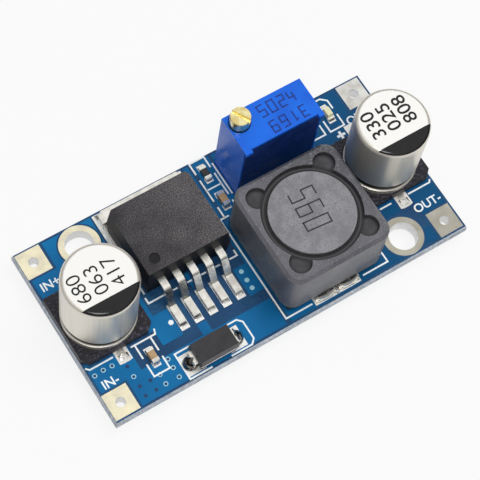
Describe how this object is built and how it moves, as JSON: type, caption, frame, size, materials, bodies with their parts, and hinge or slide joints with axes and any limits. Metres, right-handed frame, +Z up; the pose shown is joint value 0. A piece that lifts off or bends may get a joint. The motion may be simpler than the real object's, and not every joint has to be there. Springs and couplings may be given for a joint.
{
  "type": "buck converter module",
  "caption": "Small blue step-down converter board with shielded inductor, two can capacitors, tab-cooled regulator and screw trimmer.",
  "frame": {"origin": "centre of the board on its underside, midway between the two mounting holes", "axes": "+X along the board from the input end to the output end, +Y towards the trimmer and the regulator's heat tab, +Z up out of the board on the component side"},
  "size_m": [0.0434, 0.0212, 0.0141],
  "materials": {
    "board_mask": "blue solder mask over glass-fibre laminate",
    "tinned_land": "tinned copper, dull",
    "tinned_copper": "matt tin over copper",
    "moulded_epoxy": "fine matt",
    "silicon": "cut and polished",
    "can_aluminium": "satin",
    "wound_foil": "etched foil and paper, wound",
    "black_rubber": "smooth",
    "plinth_plastic": "moulded",
    "ferrite": "pressed and ground",
    "copper_winding": "enamelled",
    "black_plastic": "moulded",
    "blue_plastic": "semi-gloss",
    "dark_potting": "smooth",
    "dark_glue": "epoxy, set in place",
    "alumina": "printed with a resistive track",
    "brass": "turned",
    "white_plastic": "moulded",
    "spring_bronze": "stamped",
    "solder": "flowed",
    "chip_tan": "fired",
    "chip_black": "glazed top",
    "led_white": "moulded",
    "led_clear": "clear resin",
    "mask_over_copper": "blue solder mask over copper",
    "bare_mask": "blue solder mask where there is no copper",
    "white_ink": "screen printed",
    "black_ink": "pad printed",
    "pale_mark": "laser marked"
  },
  "bodies": {
    "module": {"circuit_board": "board_mask", "solder_lands": "tinned_land", "terminal_land_in_positive": "tinned_land", "terminal_land_in_negative": "tinned_land", "terminal_land_out_positive": "tinned_land", "terminal_land_out_negative": "tinned_land", "mounting_land_in": "tinned_land", "mounting_land_out": "tinned_land", "regulator_body": "moulded_epoxy", "regulator_heat_tab": "tinned_copper", "regulator_die": "silicon", "regulator_lead_1": "tinned_copper", "regulator_lead_2": "tinned_copper", "regulator_lead_4": "tinned_copper", "regulator_lead_5": "tinned_copper", "input_capacitor_can": "can_aluminium", "input_capacitor_winding": "wound_foil", "input_capacitor_seal": "black_rubber", "input_capacitor_base": "plinth_plastic", "input_capacitor_positive_lead": "tinned_copper", "input_capacitor_negative_lead": "tinned_copper", "output_capacitor_can": "can_aluminium", "output_capacitor_winding": "wound_foil", "output_capacitor_seal": "black_rubber", "output_capacitor_base": "plinth_plastic", "output_capacitor_positive_lead": "tinned_copper", "output_capacitor_negative_lead": "tinned_copper", "inductor_shield_ring": "ferrite", "inductor_drum_core": "ferrite", "inductor_winding": "copper_winding", "inductor_glue": "dark_glue", "inductor_base": "black_plastic", "inductor_terminal_front": "tinned_copper", "inductor_terminal_back": "tinned_copper", "trimmer_housing": "blue_plastic", "trimmer_cover": "dark_potting", "trimmer_element": "alumina", "trimmer_seal_ring": "black_rubber", "trimmer_pin_1": "tinned_copper", "trimmer_pin_2": "tinned_copper", "trimmer_pin_3": "tinned_copper", "trimmer_solder": "solder", "diode_body": "moulded_epoxy", "diode_cathode_terminal": "tinned_copper", "diode_anode_terminal": "tinned_copper", "diode_chip": "silicon", "input_chip_capacitor": "chip_tan", "input_chip_capacitor_ends": "tinned_copper", "feedback_chip_capacitor": "chip_tan", "feedback_chip_capacitor_ends": "tinned_copper", "feedback_resistor": "chip_black", "feedback_resistor_ends": "tinned_copper", "indicator_resistor": "chip_black", "indicator_resistor_ends": "tinned_copper", "indicator_led": "led_white", "indicator_led_lens": "led_clear"},
    "adjustment_screw": {"trimmer_screw": "brass"},
    "wiper_wheel": {"trimmer_wheel": "white_plastic", "trimmer_wiper": "spring_bronze"}
  },
  "joints": [
    {"name": "screw_turn", "type": "hinge", "parent": "module", "child": "adjustment_screw", "pos_m": [0.00355, 0.008, 0.0117], "axis": [0, 0, 1], "range_deg": [-4500, 4500]},
    {"name": "wheel_turn", "type": "hinge", "parent": "module", "child": "wiper_wheel", "pos_m": [0.00725, 0.008, 0.00609], "axis": [0, 1, 0], "range_deg": [-151, 151]}
  ],
  "couplings": [
    {"joint": "wheel_turn", "follows": "screw_turn", "ratio": -0.033333}
  ]
}
